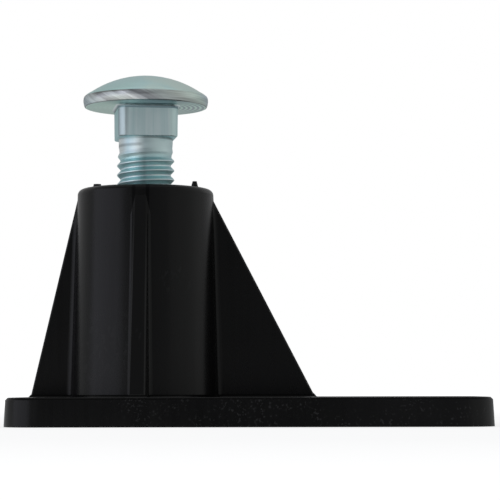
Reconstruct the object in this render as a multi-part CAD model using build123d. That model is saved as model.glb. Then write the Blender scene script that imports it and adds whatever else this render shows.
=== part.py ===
from build123d import *

import math
import os

# Furnace leveling leg: a moulded plastic foot, and the carriage bolt that screws up and down in its boss.
# Millimetres, +Z up. The origin is the centre of the sole on the floor. +X runs along the sole, from the
# boss towards the free end, and the bolt stands upright on the boss's axis.

# Sole plate
sole_length = 77.9
sole_width = 43.0
sole_thickness = 4.66
sole_corner_radius = 6.0
sole_draft = 3.0
sole_edge_chamfer = 0.4

# Boss that takes the bolt, set in from one end of the sole
boss_inset = 21.4
boss_height = 39.28
boss_top_diameter = 22.68
boss_draft = 1.5
boss_rim_radius = 1.0

# Gussets that stay the boss on the sole: three short ones, and a long one towards the free end
gusset_drop = 1.93
gusset_thickness = 2.2
gusset_draft = 0.45
gusset_margin = 2.37
long_gusset_reach = 28.25
gusset_edge_chamfer = 0.25
gusset_root_radius = 1.1
gusset_root_top_radius = 0.75
gusset_root_sink = 0.015
column_foot_chamfer = 0.35

# Stubs on the rim where the moulding gates were broken off
gate_circle_radius = 9.2
gate_draft = 15.0
tall_gate_angle = -24.0
tall_gate_diameter = 0.7
tall_gate_height = 1.05
broad_gate_angle = -146.0
broad_gate_diameter = 1.2
broad_gate_height = 0.5

# Carriage bolt, 3/8 inch with 16 threads to the inch
thread_diameter = 9.5
bolt_length = 44.45
bolt_lift = 13.87
head_diameter = 20.95
head_height = 5.3
head_rim_chamfer = 0.5
head_rim_land = 1.05
neck_width = 9.95
neck_depth = 5.55
neck_corner_radius = 0.9
neck_draft = 0.5
neck_turn = 10.0
runout_diameter = 9.0
runout_length = 2.2
tip_chamfer = 0.9

# Fit of the bolt in the moulded bore
bore_clearance = 0.06
bore_lead_in = 0.5

# Places worked out from the sizes above
boss_x = boss_inset - sole_length / 2
gusset_top = boss_height - gusset_drop
bolt_seat = boss_height + bolt_lift


def boss_radius(z):
    """Radius of the drafted boss at height z."""
    return boss_top_diameter / 2 + (boss_height - z) * math.tan(math.radians(boss_draft))


def gusset_half(z):
    """Half the thickness of a gusset at height z."""
    return gusset_thickness / 2 + (gusset_top - z) * math.tan(math.radians(gusset_draft))


def gusset_root(z):
    """Radius of the flare that joins a gusset to the boss at height z, smaller towards the rim."""
    share = (gusset_top - z) / (gusset_top - sole_thickness)
    return gusset_root_top_radius + share * (gusset_root_radius - gusset_root_top_radius)


def sole():
    """Flat plate with rounded corners, drafted sides and a softened top edge."""
    outline = RectangleRounded(sole_length, sole_width, sole_corner_radius)
    plate = extrude(outline, sole_thickness, taper=sole_draft)
    top = plate.faces().sort_by(Axis.Z)[-1]
    return chamfer(top.edges(), sole_edge_chamfer)


def boss():
    """Upright drafted post, from the floor to the rim, with a chamfer where it leaves the sole."""
    foot_radius = boss_radius(sole_thickness) + column_foot_chamfer
    foot_top = sole_thickness + column_foot_chamfer
    outline = Polyline(
        (0, 0),
        (foot_radius, 0),
        (foot_radius, sole_thickness),
        (boss_radius(foot_top), foot_top),
        (boss_radius(boss_height), boss_height),
        (0, boss_height),
        close=True,
    )
    return revolve(Plane.XZ * make_face(outline), Axis.Z)


def gusset_section(z, length):
    """Cross-section of a gusset at height z. It flares where it meets the boss and ends inside it."""
    half = gusset_half(z)
    root = gusset_root(z)
    seat = boss_radius(z) - gusset_root_sink
    flare_y = half + root
    flare_x = math.sqrt((seat + root) ** 2 - flare_y**2)
    lean = math.degrees(math.atan2(flare_y, flare_x))
    flare = CenterArc((flare_x, flare_y), root, 270, lean - 90)
    outer = Polyline((length, 0), (length, half), (flare_x, half))
    inner = Line(flare @ 1, (seat / 2, 0))
    side = outer.edges() + flare.edges() + inner.edges()
    other_side = [mirror(edge, Plane.XZ) for edge in side]
    return Pos(0, 0, z) * make_face(side + other_side)


def gusset_roof(reach, z):
    """Section across a gusset's sloping edge where it passes height z, with both corners chamfered."""
    run = (reach - boss_radius(gusset_top)) / (gusset_top - sole_thickness)
    x = reach - run * (z - sole_thickness)
    flat = gusset_half(z) - gusset_edge_chamfer
    outline = Polyline((-flat - reach, -reach), (-flat, 0), (flat, 0), (flat + reach, -reach), close=True)
    return Plane((x, 0, z), x_dir=(0, 1, 0), z_dir=(run, 0, -1)) * make_face(outline)


def gusset_foot(reach):
    """Chamfer round a gusset's foot, as a low frustum sunk in the sole and run up into the web."""
    sections = []
    for rise in (-column_foot_chamfer, 2 * column_foot_chamfer):
        spread = column_foot_chamfer - rise
        width = 2 * (gusset_half(sole_thickness) + spread)
        section = Rectangle(reach + spread, width, align=(Align.MIN, Align.CENTER))
        sections.append(Pos(0, 0, sole_thickness + rise) * section)
    return loft(sections, ruled=True)


def gusset(reach, angle):
    """Tapered web that slopes from below the rim out to the sole, turned about the boss's axis."""
    buried = sole_thickness / 2
    cap = boss_height - boss_rim_radius
    wall = loft([gusset_section(buried, 2 * reach), gusset_section(cap, 2 * reach)], ruled=True)
    roof = loft([gusset_roof(reach, -reach), gusset_roof(reach, cap + reach)], ruled=True)
    return Rot(0, 0, angle) * ((wall & roof) + gusset_foot(reach))


def column():
    """Boss and gussets as one drafted column on the boss's axis."""
    side_reach = sole_width / 2 - gusset_margin
    end_reach = boss_inset - gusset_margin
    body = boss() + gusset(long_gusset_reach, 0) + gusset(end_reach, 180)
    return body + gusset(side_reach, 90) + gusset(side_reach, 270)


def gate(angle, diameter, height):
    """Broken gate stub, tapering from its root in the rim to the given diameter at its tip."""
    root = boss_rim_radius
    rise = root + height
    base_radius = diameter / 2 + rise * math.tan(math.radians(gate_draft))
    stub = extrude(Circle(base_radius), rise, taper=gate_draft)
    return Rot(0, 0, angle) * Pos(gate_circle_radius, 0, boss_height - root) * stub


def bore():
    """Through hole for the bolt, with a lead-in at the rim."""
    radius = thread_diameter / 2 + bore_clearance
    outline = Polyline(
        (0, 0),
        (radius, 0),
        (radius, boss_height - bore_lead_in),
        (radius + bore_lead_in, boss_height),
        (0, boss_height),
        close=True,
    )
    return revolve(Plane.XZ * make_face(outline), Axis.Z)


def foot():
    """The whole moulding: sole, boss and gussets in one piece, with its corners softened."""
    body = sole() + Pos(boss_x, 0, 0) * column()
    rim = body.edges().group_by(Axis.Z)[-1]
    body = fillet(rim, boss_rim_radius)
    tall_gate = gate(tall_gate_angle, tall_gate_diameter, tall_gate_height)
    broad_gate = gate(broad_gate_angle, broad_gate_diameter, broad_gate_height)
    body = body + Pos(boss_x, 0, 0) * tall_gate + Pos(boss_x, 0, 0) * broad_gate
    return body - Pos(boss_x, 0, 0) * bore()


def bolt_head():
    """Low domed head with a narrow rim, standing on its flat underside."""
    radius = head_diameter / 2
    rim_top = head_rim_chamfer + head_rim_land
    rise = head_height - rim_top
    dome_radius = (radius**2 + rise**2) / (2 * rise)
    lean = math.degrees(math.asin((dome_radius - rise) / dome_radius))
    dome = CenterArc((0, head_height - dome_radius), dome_radius, lean, 90 - lean)
    rim = Polyline(
        (0, head_height),
        (0, 0),
        (radius - head_rim_chamfer, 0),
        (radius, head_rim_chamfer),
        (radius, rim_top),
    )
    return revolve(Plane.XZ * make_face(rim.edges() + dome.edges()), Axis.Z)


def bolt_shank():
    """Smooth run-out below the neck, then the threaded length at its crest diameter and a chamfered tip."""
    thread = thread_diameter / 2
    runout = runout_diameter / 2
    thread_start = -neck_depth - runout_length
    outline = Polyline(
        (0, 0),
        (runout, 0),
        (runout, thread_start),
        (thread, thread_start - (thread - runout)),
        (thread, tip_chamfer - bolt_length),
        (thread - tip_chamfer, -bolt_length),
        (0, -bolt_length),
        close=True,
    )
    return revolve(Plane.XZ * make_face(outline), Axis.Z)


def carriage_bolt():
    """Forged bolt: domed head, square neck and shank in one piece, standing clear of the boss."""
    square = Rot(0, 0, neck_turn) * RectangleRounded(neck_width, neck_width, neck_corner_radius)
    neck = extrude(square, neck_depth, dir=(0, 0, -1), taper=neck_draft)
    return Pos(boss_x, 0, bolt_seat) * (bolt_head() + neck + bolt_shank())


os.makedirs("parts", exist_ok=True)
export_step(foot(), "parts/foot.step")
export_step(carriage_bolt(), "parts/carriage_bolt.step")
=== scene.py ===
import math

import bpy
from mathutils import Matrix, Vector


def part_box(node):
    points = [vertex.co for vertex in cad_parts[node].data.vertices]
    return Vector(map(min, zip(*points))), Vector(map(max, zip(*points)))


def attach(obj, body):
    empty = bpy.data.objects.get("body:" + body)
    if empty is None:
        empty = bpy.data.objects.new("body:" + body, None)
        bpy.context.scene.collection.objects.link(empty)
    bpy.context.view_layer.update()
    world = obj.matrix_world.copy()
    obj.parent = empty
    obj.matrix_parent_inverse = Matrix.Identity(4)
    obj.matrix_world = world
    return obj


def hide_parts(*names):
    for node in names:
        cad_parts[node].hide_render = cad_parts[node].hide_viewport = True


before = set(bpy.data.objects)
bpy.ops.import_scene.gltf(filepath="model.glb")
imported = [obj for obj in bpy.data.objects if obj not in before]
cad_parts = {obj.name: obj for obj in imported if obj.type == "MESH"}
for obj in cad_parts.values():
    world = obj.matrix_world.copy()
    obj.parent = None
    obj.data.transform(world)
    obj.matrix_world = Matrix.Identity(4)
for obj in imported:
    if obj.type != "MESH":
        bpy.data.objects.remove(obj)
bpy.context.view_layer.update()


# Moulded foot: the sole, boss and gussets in one piece of black plastic, kept as the CAD node.
# It is injection moulded, with a fine grain, faint draw lines along the way it left the mould and matte
# chamfers. Handling has left pale dust on the sole's sides and a few scuffs on the boss.
def fill_socket(tree, socket, value):
    """Set a socket to a value, or feed it from another node's output."""
    if isinstance(value, bpy.types.NodeSocket):
        tree.links.new(value, socket)
    else:
        socket.default_value = value


def add_node(tree, kind, sockets, **settings):
    """Shader node with its settings made and its sockets filled."""
    node = tree.nodes.new(kind)
    for name, value in settings.items():
        setattr(node, name, value)
    for name, value in sockets.items():
        fill_socket(tree, node.inputs[name], value)
    return node


def set_shader(tree, name, value):
    """Fill a socket of the material's own shader."""
    fill_socket(tree, tree.nodes["Principled BSDF"].inputs[name], value)


def math_node(tree, operation, *values):
    """Result of a math node on up to three values or outputs."""
    return add_node(tree, "ShaderNodeMath", dict(enumerate(values)), operation=operation).outputs["Value"]


def product(tree, first, *others):
    """Product of several values or outputs."""
    result = first
    for other in others:
        result = math_node(tree, "MULTIPLY", result, other)
    return result


def away_from(tree, value, middle):
    """How far a value is from a middle one, either way."""
    return math_node(tree, "ABSOLUTE", math_node(tree, "SUBTRACT", value, middle))


def noise(tree, place, scale, detail):
    """Grey noise over a place."""
    sockets = {"Vector": place, "Scale": scale, "Detail": detail}
    return add_node(tree, "ShaderNodeTexNoise", sockets).outputs["Fac"]


def stretched_noise(tree, place, scales, detail):
    """Grey noise over a place that has its own scale along each axis."""
    stretched = add_node(tree, "ShaderNodeMapping", {"Vector": place, "Scale": scales}).outputs["Vector"]
    return noise(tree, stretched, 1, detail)


def spread(tree, value, low, high, to_low=0.0, to_high=1.0):
    """A value brought from one range to another, held at both ends."""
    sockets = {"Value": value, "From Min": low, "From Max": high, "To Min": to_low, "To Max": to_high}
    return add_node(tree, "ShaderNodeMapRange", sockets).outputs["Result"]


def band(tree, value, start, full, fade, end):
    """1 where a value lies between full and fade, falling to 0 at start and at end."""
    return product(tree, spread(tree, value, start, full), spread(tree, value, end, fade))


def blend(tree, factor, first, second, mode="MIX"):
    """Two colours mixed by a factor."""
    sockets = {"Factor": factor, "A": first, "B": second}
    return add_node(tree, "ShaderNodeMix", sockets, data_type="RGBA", blend_type=mode).outputs["Result"]


def split(tree, place):
    """The x, y and z of a place."""
    return add_node(tree, "ShaderNodeSeparateXYZ", {"Vector": place}).outputs


def new_finish(name):
    """New material, its node tree, and the place on the piece."""
    finish = bpy.data.materials.new(name)
    finish.use_nodes = True
    place = finish.node_tree.nodes.new("ShaderNodeTexCoord").outputs["Object"]
    return finish, finish.node_tree, place


foot_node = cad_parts["foot"]
bolt_low, bolt_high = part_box("carriage_bolt")
axis_x = (bolt_low.x + bolt_high.x) / 2
sole_top = 0.00466
sole_chamfer = 0.0004
plastic_black = (0.0016, 0.0016, 0.0018, 1)
dust_grey = (0.03, 0.03, 0.031, 1)
plastic_specular = 0.25
matte_specular = 0.04
plastic, tree, place = new_finish("black_moulded_plastic")
parts = split(tree, place)

# Dust on the sole's sides from the boss on, with an even haze towards the free end
dust_start, dust_full = -0.027, -0.019
haze_start, haze_full, haze_strength = 0.012, 0.022, 0.13
specks = spread(tree, noise(tree, place, scale=2500, detail=2), low=0.58, high=0.68)
drifts = spread(tree, noise(tree, place, scale=170, detail=2), low=0.42, high=0.56, to_low=0.1)
on_sole = spread(tree, parts["Z"], sole_top, sole_top - sole_chamfer)
dusty = spread(tree, parts["X"], dust_start, dust_full)
hazy = spread(tree, parts["X"], haze_start, haze_full, 0, haze_strength)
dust = product(tree, specks, drifts, on_sole, dusty)
marks = math_node(tree, "MAXIMUM", dust, product(tree, on_sole, hazy))

# Scuffs on the boss and the front gusset, each with its middle and radius
scuffs = [
    (Vector((-0.0118, -0.0103, 0.0238)), 0.0034),
    (Vector((-0.0247, -0.0098, 0.0072)), 0.0016),
    (Vector((-0.0212, -0.0116, 0.0058)), 0.0018),
    (Vector((-0.0175, -0.0167, 0.0147)), 0.0011),
    (Vector((-0.0243, -0.0105, 0.0125)), 0.0085),
]
scuff_core = 0.4
scuff_strength = 0.4
rubs = stretched_noise(tree, place, scales=(1300, 1300, 700), detail=2)
rubbed = spread(tree, rubs, low=0.55, high=0.66)
for middle, radius in scuffs:
    away = add_node(tree, "ShaderNodeVectorMath", {0: place, 1: middle}, operation="DISTANCE")
    patch = spread(tree, away.outputs["Value"], radius, scuff_core * radius)
    marks = math_node(tree, "MAXIMUM", marks, product(tree, patch, rubbed, scuff_strength))
set_shader(tree, "Base Color", blend(tree, marks, plastic_black, dust_grey))

# Gloss and relief of the moulded skin, rougher where it is dusty or scuffed
gloss_low, gloss_high = 0.24, 0.32
mark_roughness = 0.2
draw_line_relief = 0.6
draw_lines = stretched_noise(tree, place, scales=(900, 900, 14), detail=2)
handling = noise(tree, place, scale=95, detail=5)
skin = math_node(tree, "ADD", draw_lines, handling)
gloss = spread(tree, skin, low=0.7, high=1.3, to_low=gloss_low, to_high=gloss_high)
set_shader(tree, "Roughness", math_node(tree, "MULTIPLY_ADD", marks, mark_roughness, gloss))
grain = noise(tree, place, scale=2600, detail=3)
relief = math_node(tree, "MULTIPLY_ADD", draw_lines, draw_line_relief, grain)
bump = add_node(tree, "ShaderNodeBump", {"Strength": 0.25, "Distance": 0.00002, "Height": relief})
set_shader(tree, "Normal", bump.outputs["Normal"])

# Matte chamfers along the sole's top edge, and on the front and back gussets' edges towards the rim
rib_dull_start, rib_dull_full, rib_dullness = 0.022, 0.034, 0.55
from_edge = away_from(tree, parts["Z"], sole_top)
sole_edge = band(tree, from_edge, start=0.00008, full=0.00012, fade=0.00037, end=0.00042)
off_rib = away_from(tree, parts["X"], axis_x)
rib_edges = band(tree, off_rib, start=0.0008, full=0.0009, fade=0.00135, end=0.00145)
near_rim = spread(tree, parts["Z"], rib_dull_start, rib_dull_full, 0, rib_dullness)
matte = math_node(tree, "MAXIMUM", sole_edge, product(tree, rib_edges, near_rim))
# The socket's own value is the level that an export keeps when it drops the link
set_shader(tree, "Specular IOR Level", plastic_specular)
set_shader(tree, "Specular IOR Level", spread(tree, matte, 0, 1, plastic_specular, matte_specular))
foot_node.data.materials[0] = plastic


# Carriage bolt head: a low dome over a thick rounded rim, cold forged from steel wire and zinc plated with
# a thin blue passivation. It is drawn ring by ring from the underside up. The plate is smooth on the crown,
# struck aslant on the rim's left and turned on its right, and turned in rings on the underside. Painted
# highlights, reflections and shade on the rim, the underside and the neck's flare stand in for light.
def extrude_up(rise, grow=1):
    """Extrude the selected faces upwards, and scale them about the bolt's axis."""
    bpy.ops.mesh.extrude_region_move(TRANSFORM_OT_translate={"value": (0, 0, rise)})
    bpy.ops.transform.resize(value=(grow, grow, 1), center_override=(axis_x, axis_y, seat))


def zinc_plate(name, roughness):
    """New zinc finish, its node tree, and the place on the bolt from the middle of the head's seat."""
    finish, tree, place = new_finish(name)
    set_shader(tree, "Metallic", 1)
    sockets = {"Vector": place, "Location": (-axis_x, -axis_y, -seat)}
    spot = add_node(tree, "ShaderNodeMapping", sockets).outputs["Vector"]
    cloud = noise(tree, spot, scale=260, detail=4)
    uneven = 0.04
    polish = spread(tree, cloud, low=0.3, high=0.7, to_low=roughness - uneven, to_high=roughness + uneven)
    set_shader(tree, "Roughness", polish)
    return finish, tree, spot


def bearing_round(tree, parts):
    """Bearing round an upright axis, 0 at the front and rising to the right."""
    return math_node(tree, "ARCTAN2", parts["X"], math_node(tree, "MULTIPLY", parts["Y"], -1))


def distance_out(tree, parts):
    """Distance from the bolt's axis."""
    y_square = math_node(tree, "MULTIPLY", parts["Y"], parts["Y"])
    return math_node(tree, "POWER", math_node(tree, "MULTIPLY_ADD", parts["X"], parts["X"], y_square), 0.5)


def ramp(tree, factor, stops):
    """Colour ramp over a factor, with its stops in rising order."""
    node = add_node(tree, "ShaderNodeValToRGB", {"Fac": factor})
    elements = node.color_ramp.elements
    elements[0].position, elements[0].color = stops[0][0], (*stops[0][1], 1)
    elements[1].position, elements[1].color = stops[-1][0], (*stops[-1][1], 1)
    for position, colour in stops[1:-1]:
        elements.new(position).color = (*colour, 1)
    return node.outputs["Color"]


def streaks(tree, across, across_scale, down, down_scale, detail):
    """Grey noise over two values, drawn out along the one with the smaller scale."""
    sockets = {
        "X": math_node(tree, "MULTIPLY", across, across_scale),
        "Y": math_node(tree, "MULTIPLY", down, down_scale),
    }
    plane = add_node(tree, "ShaderNodeCombineXYZ", sockets).outputs["Vector"]
    return noise(tree, plane, 1, detail)


def between(tree, factor, first, second):
    """A value part of the way from one to another."""
    return math_node(tree, "MULTIPLY_ADD", factor, math_node(tree, "SUBTRACT", second, first), first)


axis_y = (bolt_low.y + bolt_high.y) / 2
head_radius = (bolt_high.x - bolt_low.x) / 2
head_height = 0.0053
head_sides = 128
seat = bolt_high.z - head_height
seat_inset = 0.00036
crown_radius = 0.0165
crown_rings = [0.0093, 0.0086, 0.0078, 0.0069, 0.0059, 0.0048, 0.0037, 0.0026, 0.0015, 0.0006]
forged_smooth = math.radians(40)
# The rim's rings, each as its inset from the widest one and its height over the seat
rim_rings = [
    (0.00023, 0.00006),
    (0.00015, 0.00022),
    (0.00007, 0.0005),
    (0.00001, 0.00085),
    (0, 0.00115),
    (0.00003, 0.00145),
    (0.00013, 0.00172),
    (0.00042, 0.00197),
    (0.00074, 0.00219),
]
rings = [(head_radius - inset, height) for inset, height in rim_rings]
for radius in crown_rings:
    rings.append((radius, head_height - crown_radius + math.sqrt(crown_radius**2 - radius**2)))

bpy.ops.object.select_all(action="DESELECT")
ring_radius, ring_height = head_radius - seat_inset, 0
bpy.ops.mesh.primitive_circle_add(
    vertices=head_sides, radius=ring_radius, fill_type="NGON", location=(axis_x, axis_y, seat)
)
head = bpy.context.object
head.name = "bolt_head"
bpy.ops.object.transform_apply(location=True, rotation=True, scale=True)
bpy.ops.object.mode_set(mode="EDIT")
for radius, height in rings:
    extrude_up(height - ring_height, radius / ring_radius)
    ring_radius, ring_height = radius, height
# The last ring closes to a point at the top of the crown
extrude_up(head_height - ring_height)
bpy.ops.mesh.merge(type="COLLAPSE")
bpy.ops.mesh.select_all(action="SELECT")
bpy.ops.mesh.normals_make_consistent(inside=False)
bpy.ops.object.mode_set(mode="OBJECT")
bpy.ops.object.shade_smooth_by_angle(angle=forged_smooth)

# Crown, a little warmer to the right
crown_stops = [(0.25, (0.54, 0.78, 0.76)), (0.5, (0.56, 0.79, 0.79)), (0.75, (0.66, 0.82, 0.77))]
crown_drift = 30
crown_zinc, tree, spot = zinc_plate("zinc_crown", 0.34)
parts = split(tree, spot)
blotches = noise(tree, spot, scale=190, detail=3)
crown_tone = math_node(tree, "MULTIPLY_ADD", parts["X"], crown_drift, blotches)
set_shader(tree, "Base Color", ramp(tree, crown_tone, crown_stops))

# Rim, with strokes aslant on the left that are partly struck marks and partly painted highlights and
# reflections, fine turning on the right, a painted shade darkening its top on the left and lightening it
# on the right, and a painted shade along its lower edge
rim_lean = 1.96
rim_front_half = 0.0165
rim_edge_shade = (0.16, 0.2, 0.21, 1)
rim_edge_start, rim_edge_full, rim_edge_strength = 0.00012, 0.00004, 0.75
turned_start, turned_full = 0.001, 0.004
right_start, right_full = -0.0016, 0.0005
left_shade_start, left_shade_full = 0.0008, 0.0016
right_shade_start, right_shade_full = 0.0004, 0.0015
rim_strokes_and_highlights = [
    (0.16, (0.5, 0.61, 0.65)),
    (0.22, (0.86, 0.97, 1.0)),
    (0.293, (0.93, 1.0, 1.0)),
    (0.32, (0.47, 0.49, 0.5)),
    (0.35, (0.42, 0.44, 0.43)),
    (0.42, (0.66, 0.71, 0.68)),
    (0.455, (0.56, 0.59, 0.58)),
    (0.49, (0.96, 1.0, 1.0)),
    (0.52, (0.88, 0.92, 0.95)),
    (0.55, (0.52, 0.55, 0.58)),
    (0.59, (0.53, 0.56, 0.58)),
    (0.65, (0.69, 0.77, 0.76)),
    (0.75, (0.59, 0.65, 0.62)),
    (0.9, (0.62, 0.75, 0.69)),
    (1.0, (0.5, 0.61, 0.65)),
]
rim_zinc, tree, spot = zinc_plate("zinc_rim", 0.31)
parts = split(tree, spot)
along = math_node(tree, "MULTIPLY", bearing_round(tree, parts), head_radius)
slant = math_node(tree, "MULTIPLY_ADD", parts["Z"], rim_lean, along)
# Partly struck marks and partly painted highlights and reflections: light and dark bands round the rim
strokes_and_highlights = ramp(tree, spread(tree, slant, -rim_front_half, rim_front_half), rim_strokes_and_highlights)
grazes = streaks(tree, slant, across_scale=1500, down=parts["Z"], down_scale=420, detail=3)
grazed = spread(tree, grazes, low=0.3, high=0.7, to_low=0.72, to_high=1.15)
turning = streaks(tree, along, across_scale=150, down=parts["Z"], down_scale=3200, detail=2)
turned = spread(tree, turning, low=0.3, high=0.7, to_low=0.76, to_high=1.18)
wear = between(tree, spread(tree, parts["X"], turned_start, turned_full), grazed, turned)
# Painted shade: the rim's top is darker on the left and lighter on the right
left_shade = spread(tree, parts["Z"], left_shade_start, left_shade_full, to_low=1.0, to_high=0.55)
right_shade = spread(tree, parts["Z"], right_shade_start, right_shade_full, to_low=0.96, to_high=1.1)
rim_shade = between(tree, spread(tree, parts["X"], right_start, right_full), left_shade, right_shade)
rim_wear_and_painted_light = blend(tree, 1.0, strokes_and_highlights, product(tree, wear, rim_shade), "MULTIPLY")
# Painted shade along the rim's lower edge, where it turns under
lower_edge_shade = spread(tree, parts["Z"], rim_edge_start, rim_edge_full, 0, rim_edge_strength)
set_shader(tree, "Base Color", blend(tree, lower_edge_shade, rim_wear_and_painted_light, rim_edge_shade))

# Underside, with turned rings that deepen to the right, a painted shade in front of the neck, and the
# neck's flare, with a painted shade below and a painted highlight where it runs into the head
flare = 0.0006
flare_start, flare_full = -0.00002, -0.00008
flare_shade_and_highlight = [(0.45, (0.25, 0.36, 0.4)), (0.8, (0.88, 1.0, 1.0))]
under_pale = (0.64, 0.89, 0.8, 1)
under_ring_and_shade = (0.29, 0.4, 0.46, 1)
ring_wave = 8000
line_edge = 0.4
line_start, line_full = -0.004, 0.007
front_shade_from, front_shade_to = -0.0035, 0.0015
front_shade_reach, front_shade_core = 1.0, 0.6
under_zinc, tree, spot = zinc_plate("zinc_underside", 0.34)
parts = split(tree, spot)
waves = math_node(tree, "SINE", math_node(tree, "MULTIPLY", distance_out(tree, parts), ring_wave))
lines = spread(tree, waves, -line_edge, line_edge)
line_depth = spread(tree, parts["X"], line_start, line_full, to_low=0.08, to_high=0.8)
off_front = math_node(tree, "ABSOLUTE", bearing_round(tree, parts))
# Painted shade on the underside in front of the neck
in_front = spread(tree, off_front, front_shade_reach, front_shade_core)
front_shading = spread(tree, parts["X"], front_shade_from, front_shade_to, to_low=0.3, to_high=0.8)
shaded_front = product(tree, in_front, front_shading)
rings_and_shaded_front = math_node(tree, "MAXIMUM", product(tree, lines, line_depth), shaded_front)
flat = blend(tree, rings_and_shaded_front, under_pale, under_ring_and_shade)
# Painted shade on the flare's lower part, and a painted highlight where it runs into the head
flare_painted_light = ramp(tree, spread(tree, parts["Z"], -flare, 0), flare_shade_and_highlight)
set_shader(tree, "Base Color", blend(tree, spread(tree, parts["Z"], flare_start, flare_full), flat, flare_painted_light))

# The crown starts where the rim has turned up far enough, and the underside is what faces straight down
rim_top = seat + 0.0018
rim_lowest_normal, rim_highest_normal = -0.97, 0.8
for finish in (crown_zinc, rim_zinc, under_zinc):
    head.data.materials.append(finish)
for face in head.data.polygons:
    if rim_lowest_normal < face.normal.z < rim_highest_normal and face.center.z < rim_top:
        face.material_index = 1
    elif face.normal.z < 0:
        face.material_index = 2


# Square neck under the head: it is forged with the head, has rounded corners and a little draft, and
# stands turned on its axis. It flares into the head at its top, so the two read as one forging. Its zinc
# shows the forging's lengthwise draw lines, and the corners are darker on the left.
def select_facing(piece, up):
    """In edit mode, select only the faces of a piece that point up (1) or down (-1)."""
    bpy.ops.mesh.select_mode(type="FACE")
    bpy.ops.mesh.select_all(action="DESELECT")
    bpy.ops.object.mode_set(mode="OBJECT")
    nearly_level = 0.9
    for face in piece.data.polygons:
        face.select = up * face.normal.z > nearly_level
    bpy.ops.object.mode_set(mode="EDIT")


neck_width = 0.00995
neck_depth = 0.0053
neck_turn = math.radians(10)
neck_foot_scale = 0.99
neck_foot_bevel = 0.00022
corner_bevel = 0.00115
corner_profile = 0.36
flare_steps = 5

bpy.ops.object.select_all(action="DESELECT")
bpy.ops.mesh.primitive_cube_add(
    size=1,
    location=(axis_x, axis_y, seat - (neck_depth + flare) / 2),
    rotation=(0, 0, neck_turn),
    scale=(neck_width, neck_width, neck_depth - flare),
)
neck = bpy.context.object
neck.name = "bolt_neck"
bpy.ops.object.transform_apply(location=True, rotation=True, scale=True)
bpy.ops.object.mode_set(mode="EDIT")
bpy.ops.mesh.select_mode(type="EDGE")
bpy.ops.mesh.select_all(action="DESELECT")
bpy.ops.object.mode_set(mode="OBJECT")
for edge in neck.data.edges:
    ends = [neck.data.vertices[i].co for i in edge.vertices]
    edge.select = abs(ends[0].z - ends[1].z) > neck_depth / 2
bpy.ops.object.mode_set(mode="EDIT")
bpy.ops.mesh.bevel(offset=corner_bevel, segments=6, profile=corner_profile)
select_facing(neck, -1)
bpy.ops.transform.resize(
    value=(neck_foot_scale, neck_foot_scale, 1), center_override=(axis_x, axis_y, seat - neck_depth)
)
bpy.ops.mesh.bevel(offset=neck_foot_bevel, segments=3)
select_facing(neck, 1)
half, rise = neck_width / 2, 0
for step in range(1, flare_steps + 1):
    sweep = math.radians(90) * step / flare_steps
    flared_half = neck_width / 2 + flare * (1 - math.cos(sweep))
    flared_rise = flare * math.sin(sweep)
    extrude_up(flared_rise - rise, flared_half / half)
    half, rise = flared_half, flared_rise
# The flare's top runs on inside the head
extrude_up(flare / 2)
bpy.ops.object.mode_set(mode="OBJECT")
bpy.ops.object.shade_smooth_by_angle(angle=forged_smooth)

corner_start, corner_full = 0.0059, 0.0062
corner_turn = 0.002
flat_stops = [(0.3, (0.57, 0.75, 0.77)), (0.7, (0.74, 0.87, 0.89))]
corner_stops = [(0.0, (0.49, 0.59, 0.62)), (1.0, (0.68, 0.86, 0.85))]
neck_zinc, tree, spot = zinc_plate("zinc_neck", 0.4)
parts = split(tree, spot)
drawn = stretched_noise(tree, spot, scales=(1500, 1500, 45), detail=2)
flats = ramp(tree, drawn, flat_stops)
corners = ramp(tree, spread(tree, parts["X"], -corner_turn, corner_turn), corner_stops)
at_corner = spread(tree, distance_out(tree, parts), corner_start, corner_full)
set_shader(tree, "Base Color", blend(tree, at_corner, flats, corners))
set_shader(tree, "Specular Tint", (0.8, 1.0, 1.0, 1))

# The flare takes the underside's finish, with its painted shade and painted highlight
for finish in (neck_zinc, under_zinc):
    neck.data.materials.append(finish)
for face in neck.data.polygons:
    face.material_index = 1 if face.center.z > seat - flare else 0


# Threaded shank: a right-hand 3/8 inch thread of 16 turns to the inch, rolled into the plain blank. One
# tooth is drawn as an outline and screwed round the axis. The thread runs out under the neck on a smooth
# collar of the blank's own size, and the tip is chamfered. Painted highlights run along the crests and
# roots.
def share_between(value, low, high):
    """How far a value has come from low to high, from 0 to 1."""
    return min(1, max(0, (value - low) / (high - low)))


pitch = 0.0015875
crest = 0.00479
root = 0.00421
blank = 0.00453
flank = math.radians(53)
root_round = 0.00028
crest_round = 0.00008
crest_flat = 0.00005
crest_height = 0.0441
tip = bolt_low.z
tip_chamfer = 0.0009
neck_overlap = 0.0005
collar_low, collar_high = seat - 0.009, seat - 0.0076
groove_low, groove_high = seat - 0.0096, seat - 0.0061
turns_above, turns_below = 4, 1
turn_steps = 64
weld = 0.000005
thread_smooth = math.radians(35)
lower_half = []
for share in (0, 0.35, 0.7, 1):
    turn = share * flank
    lower_half.append((root + root_round * (1 - math.cos(turn)), root_round * math.sin(turn) - pitch / 2))
for share in (1, 0.5, 0):
    turn = share * flank
    drop = crest_flat + crest_round * math.sin(turn)
    lower_half.append((crest - crest_round * (1 - math.cos(turn)), -drop))
tooth = lower_half + [(radius, -height) for radius, height in reversed(lower_half)]
turns = math.ceil((crest_height - tip) / pitch) + turns_above + turns_below
first_crest = crest_height - (turns - turns_above) * pitch

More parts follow.
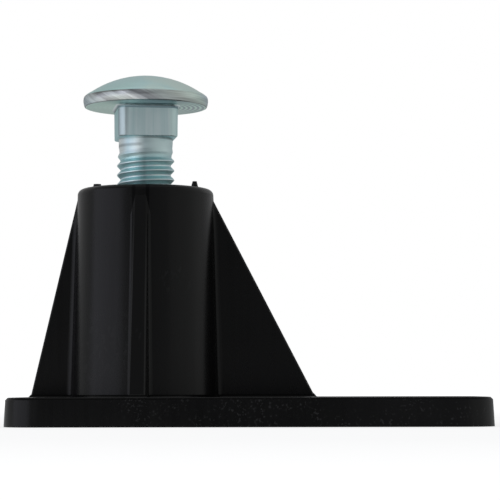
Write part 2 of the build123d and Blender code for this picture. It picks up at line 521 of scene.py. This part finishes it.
# A small plane, merged to one point, starts the tooth's outline
bpy.ops.object.select_all(action="DESELECT")
bpy.ops.mesh.primitive_plane_add(size=pitch, location=(axis_x, axis_y, first_crest))
shank = bpy.context.object
shank.name = "bolt_shank"
bpy.ops.object.mode_set(mode="EDIT")
bpy.ops.mesh.select_mode(type="VERT")
bpy.ops.mesh.select_all(action="SELECT")
bpy.ops.mesh.merge(type="CENTER")
reach, level = tooth[0]
bpy.ops.transform.translate(value=(reach, 0, level))
for radius, height in tooth[1:]:
    bpy.ops.mesh.extrude_region_move(TRANSFORM_OT_translate={"value": (radius - reach, 0, height - level)})
    reach, level = radius, height
bpy.ops.object.mode_set(mode="OBJECT")
screw = shank.modifiers.new("thread", "SCREW")
screw.axis = "Z"
screw.angle = 2 * math.pi
screw.screw_offset = pitch
screw.iterations = turns
screw.steps = turn_steps
screw.render_steps = turn_steps
bpy.ops.object.modifier_apply(modifier="thread")
bpy.ops.object.transform_apply(location=True, rotation=True, scale=True)
bpy.ops.object.mode_set(mode="EDIT")
bpy.ops.mesh.select_all(action="SELECT")
bpy.ops.mesh.remove_doubles(threshold=weld)
for cut_height, up in ((tip, -1), (seat - neck_depth + neck_overlap, 1)):
    bpy.ops.mesh.select_all(action="SELECT")
    bpy.ops.mesh.bisect(
        plane_co=(axis_x, axis_y, cut_height), plane_no=(0, 0, up), use_fill=True, clear_outer=True
    )
bpy.ops.mesh.select_all(action="SELECT")
bpy.ops.mesh.normals_make_consistent(inside=False)
bpy.ops.object.mode_set(mode="OBJECT")

# Each point of the thread is held between the groove's floor and the collar's or the tip's size
thread_floor = 0.98 * root
for vertex in shank.data.vertices:
    spoke = Vector((vertex.co.x - axis_x, vertex.co.y - axis_y))
    height = vertex.co.z
    crest_here = crest + share_between(height, collar_low, collar_high) * (blank - crest)
    most = min(crest_here, crest - tip_chamfer + max(0, height - tip))
    least = root + share_between(height, groove_low, groove_high) * (blank - root)
    if thread_floor < spoke.length:
        spoke = spoke.normalized() * max(min(spoke.length, most), min(least, most))
        vertex.co.x = axis_x + spoke.x
        vertex.co.y = axis_y + spoke.y
bpy.ops.object.shade_smooth_by_angle(angle=thread_smooth)

# Rolled thread, paler and less metallic below each crest, where the paleness is painted light on the lower
# flanks, with painted highlight lines along crests and roots and painted light and shade in streaks down
# the shank
flank_above = (0.46, 0.72, 0.76, 1)
flank_below_painted_light = (0.66, 1.0, 1.0, 1)
crest_root_highlight = (0.78, 0.93, 0.97, 1)
crest_line_start, crest_line_full = crest - 0.00004, crest - 0.00001
root_line_start, root_line_full = root + 0.00005, root + 0.00002
pale_phase_start, pale_phase_full, pale_phase_fade, pale_phase_end = 0.5, 0.56, 0.94, 1
painted_light_most = 1.15
painted_light_stops = [(0.18, 0.84), (0.32, 1.0), (0.51, 0.7), (0.57, 0.86), (0.76, 0.96), (0.92, 0.83)]
shank_half = 0.0045
powdery_metallic = 0.5
thread_zinc, tree, spot = zinc_plate("zinc_thread", 0.45)
parts = split(tree, spot)
out = distance_out(tree, parts)
# Painted highlight lines along the crests and roots
crest_highlight = spread(tree, out, crest_line_start, crest_line_full)
root_highlight = spread(tree, out, root_line_start, root_line_full)
painted_highlights = math_node(tree, "MAXIMUM", crest_highlight, root_highlight)
past_start = math_node(tree, "SUBTRACT", bearing_round(tree, parts), math.pi / 2)
part_turn = math_node(tree, "MULTIPLY", past_start, 1 / (2 * math.pi))
over_crest = math_node(tree, "SUBTRACT", parts["Z"], crest_height - seat)
climb = math_node(tree, "MULTIPLY", over_crest, 1 / pitch)
phase = math_node(tree, "FRACT", math_node(tree, "SUBTRACT", climb, part_turn))
past_root = spread(tree, phase, pale_phase_start, pale_phase_full)
at_crest = spread(tree, phase, pale_phase_fade, pale_phase_end)
below_crest = math_node(tree, "SUBTRACT", past_root, at_crest)
# Painted light: the lower flanks below each crest are paler
flanks_with_painted_light = blend(tree, below_crest, flank_above, flank_below_painted_light)
# Painted light and shade across the shank, lighter on the left with a dark line down the middle
over_width = spread(tree, parts["X"], -shank_half, shank_half)
painted_light_ramp = ramp(tree, over_width, [(share, (grey, grey, grey)) for share, grey in painted_light_stops])
painted_light_across = spread(tree, painted_light_ramp, 0, 1, 0, painted_light_most)
thread_with_painted_light = blend(tree, 1.0, blend(tree, painted_highlights, flanks_with_painted_light, crest_root_highlight), painted_light_across, "MULTIPLY")

# Collar, smooth and metallic, with painted reflections in bands across it, a painted shade in the corner
# under the neck and a painted shade along the thread's last faint turn
collar_painted_reflections = [
    (0.02, (0.93, 1.0, 1.0)),
    (0.2, (0.59, 0.75, 0.79)),
    (0.4, (0.89, 1.0, 1.0)),
    (0.52, (0.64, 0.79, 0.81)),
    (0.66, (0.7, 0.87, 0.88)),
]
shank_painted_shade = (0.12, 0.15, 0.16, 1)
under_neck_shade_strength = 0.6
tuck_start, tuck_full = -neck_depth - 0.0004, -neck_depth - 0.0002
tuck_left, tuck_right = -0.0022, 0.0009
last_turn_height = -0.0066
last_turn_reach, last_turn_core = 0.00038, 0.0001
last_turn_end, last_turn_full = 0.0002, -0.0007
last_turn_shade_strength = 0.45
on_collar = spread(tree, parts["Z"], collar_low - seat, collar_high - seat)
powdery = product(tree, below_crest, spread(tree, on_collar, 0, 1, 1, 0))
set_shader(tree, "Metallic", spread(tree, powdery, 0, 1, 1, powdery_metallic))
# Painted reflections in bands across the collar
zinc = blend(tree, on_collar, thread_with_painted_light, ramp(tree, over_width, collar_painted_reflections))
# Painted shade in the corner under the neck and along the thread's last faint turn
under_neck = spread(tree, parts["Z"], tuck_start, tuck_full)
under_neck_shade = product(tree, under_neck, spread(tree, parts["X"], tuck_left, tuck_right, to_low=0.35))
off_last_turn = away_from(tree, parts["Z"], last_turn_height)
last_turn = spread(tree, off_last_turn, last_turn_reach, last_turn_core)
last_turn_shade = product(tree, last_turn, spread(tree, parts["X"], last_turn_end, last_turn_full))
shank_shade = math_node(
    tree, "MAXIMUM", product(tree, under_neck_shade, under_neck_shade_strength), product(tree, last_turn_shade, last_turn_shade_strength)
)
set_shader(tree, "Base Color", blend(tree, shank_shade, zinc, shank_painted_shade))
shank.data.materials.append(thread_zinc)


# Whole bolt: head, neck and shank are one steel forging, so they are joined as one piece.
# It takes the place of the plain CAD bolt, which is hidden, and hangs on the bolt's body, to move as it is
# screwed up and down.
bpy.ops.object.select_all(action="DESELECT")
for part in (neck, shank, head):
    part.select_set(True)
bpy.context.view_layer.objects.active = head
bpy.ops.object.join()
head.name = "carriage_bolt_zinc"
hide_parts("carriage_bolt")
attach(head, "bolt")


# Studio floor: a plain white sheet that the leg stands on. The camera sees it as white, it keeps the leg's
# own soft shadow, and the leg mirrors it brightest to the front left.
def ray_kinds(tree):
    """Whether a ray comes from the camera, and whether the leg mirrors it or lets it through."""
    rays = tree.nodes.new("ShaderNodeLightPath").outputs
    mirrored = math_node(tree, "MAXIMUM", rays["Is Glossy Ray"], rays["Is Transmission Ray"])
    return rays["Is Camera Ray"], mirrored


floor_size = 4
floor_drop = 0.00005
bright_bearing = -0.95
bright_reach, bright_core = 0.65, 0.35
mirrored_low, mirrored_high = 0.3, 0.8
glow_start, glow_full = 0.1, 0.5
near_glow, far_glow = 0.75, 1
bpy.ops.object.select_all(action="DESELECT")
bpy.ops.mesh.primitive_plane_add(size=floor_size, location=(0, 0, -floor_drop))
floor = bpy.context.object
floor.name = "studio_floor"
sheet, tree, place = new_finish("white_sheet")
set_shader(tree, "Base Color", (0.5, 0.5, 0.5, 1))
set_shader(tree, "Roughness", 0.9)
set_shader(tree, "Specular IOR Level", 0)
set_shader(tree, "Emission Color", (1, 1, 1, 1))
from_camera, mirrored = ray_kinds(tree)
aside = away_from(tree, bearing_round(tree, split(tree, place)), bright_bearing)
lit = product(tree, mirrored, spread(tree, aside, bright_reach, bright_core, mirrored_low, mirrored_high))
shown = math_node(tree, "MAXIMUM", from_camera, lit)
from_middle = add_node(tree, "ShaderNodeVectorMath", {0: place}, operation="LENGTH")
glow = spread(tree, from_middle.outputs["Value"], glow_start, glow_full, near_glow, far_glow)
set_shader(tree, "Emission Strength", product(tree, shown, glow))
floor.data.materials.append(sheet)


# Studio light: a grey room, darkest round the camera, that the camera sees as white and the leg mirrors
# paler towards the back. A large soft light stands on the left and a weaker one on the right, and a soft
# one hangs overhead.
lens_grey = (0.12, 0.123, 0.126, 1)
room_grey = (0.29, 0.295, 0.3, 1)
white = (1, 1, 1, 1)
lens_core, lens_reach = -0.995, -0.92
pale_start, pale_full, pale_share = -0.3, 0.5, 0.27
raised_full, low_share = 0.22, 0.35
world = bpy.data.worlds.new("studio")
bpy.context.scene.world = world
world.use_nodes = True
tree = world.node_tree
from_camera, mirrored = ray_kinds(tree)
facing = split(tree, tree.nodes.new("ShaderNodeTexCoord").outputs["Generated"])
room = blend(tree, spread(tree, facing["Y"], lens_core, lens_reach), lens_grey, room_grey)
raised = spread(tree, facing["Z"], 0, raised_full, low_share, 1)
behind = spread(tree, facing["Y"], pale_start, pale_full, 0, pale_share)
shown = math_node(tree, "MAXIMUM", from_camera, product(tree, mirrored, behind, raised))
tree.links.new(blend(tree, shown, room, white), tree.nodes["Background"].inputs["Color"])

aim = Vector((axis_x, 0, 0.03))
for name, angle, distance, height, width, depth, watts, colour in (
    ("left_softbox", -63, 0.7, 0.2, 0.78, 0.6, 1.18, (0.85, 0.86, 1.0)),
    ("right_softbox", 76, 0.7, 0.26, 0.95, 0.7, 0.4, (0.98, 1.0, 0.95)),
    ("top_softbox", 180, 0.05, 0.9, 0.9, 0.9, 0.5, (1.0, 1.0, 1.0)),
):
    bearing = math.radians(angle)
    stand = Vector((axis_x + distance * math.sin(bearing), -distance * math.cos(bearing), height))
    bpy.ops.object.light_add(type="AREA", location=stand)
    lamp = bpy.context.object
    lamp.name = name
    lamp.rotation_euler = (aim - stand).to_track_quat("-Z", "Y").to_euler()
    lamp.data.shape = "RECTANGLE"
    lamp.data.size = width
    lamp.data.size_y = depth
    lamp.data.energy = watts
    lamp.data.color = colour


# Camera: low in front of the leg, almost at the height of the sole, and a little to the right of the boss.
# A long lens frames the whole leg, with a very slight roll.
eye = Vector((0.0074, -0.3396, 0.0058))
target = Vector((-0.00007, 0, 0.02914))
roll = -0.0022
bpy.ops.object.camera_add(location=eye)
camera = bpy.context.object
camera.name = "photo_camera"
camera.rotation_euler = (target - eye).to_track_quat("-Z", "Y").to_euler()
camera.rotation_euler.rotate_axis("Z", roll)
camera.data.lens = 146.6
camera.data.sensor_width = 36
camera.data.clip_start = 0.01
bpy.context.scene.camera = camera
bpy.context.scene.view_settings.view_transform = "Standard"
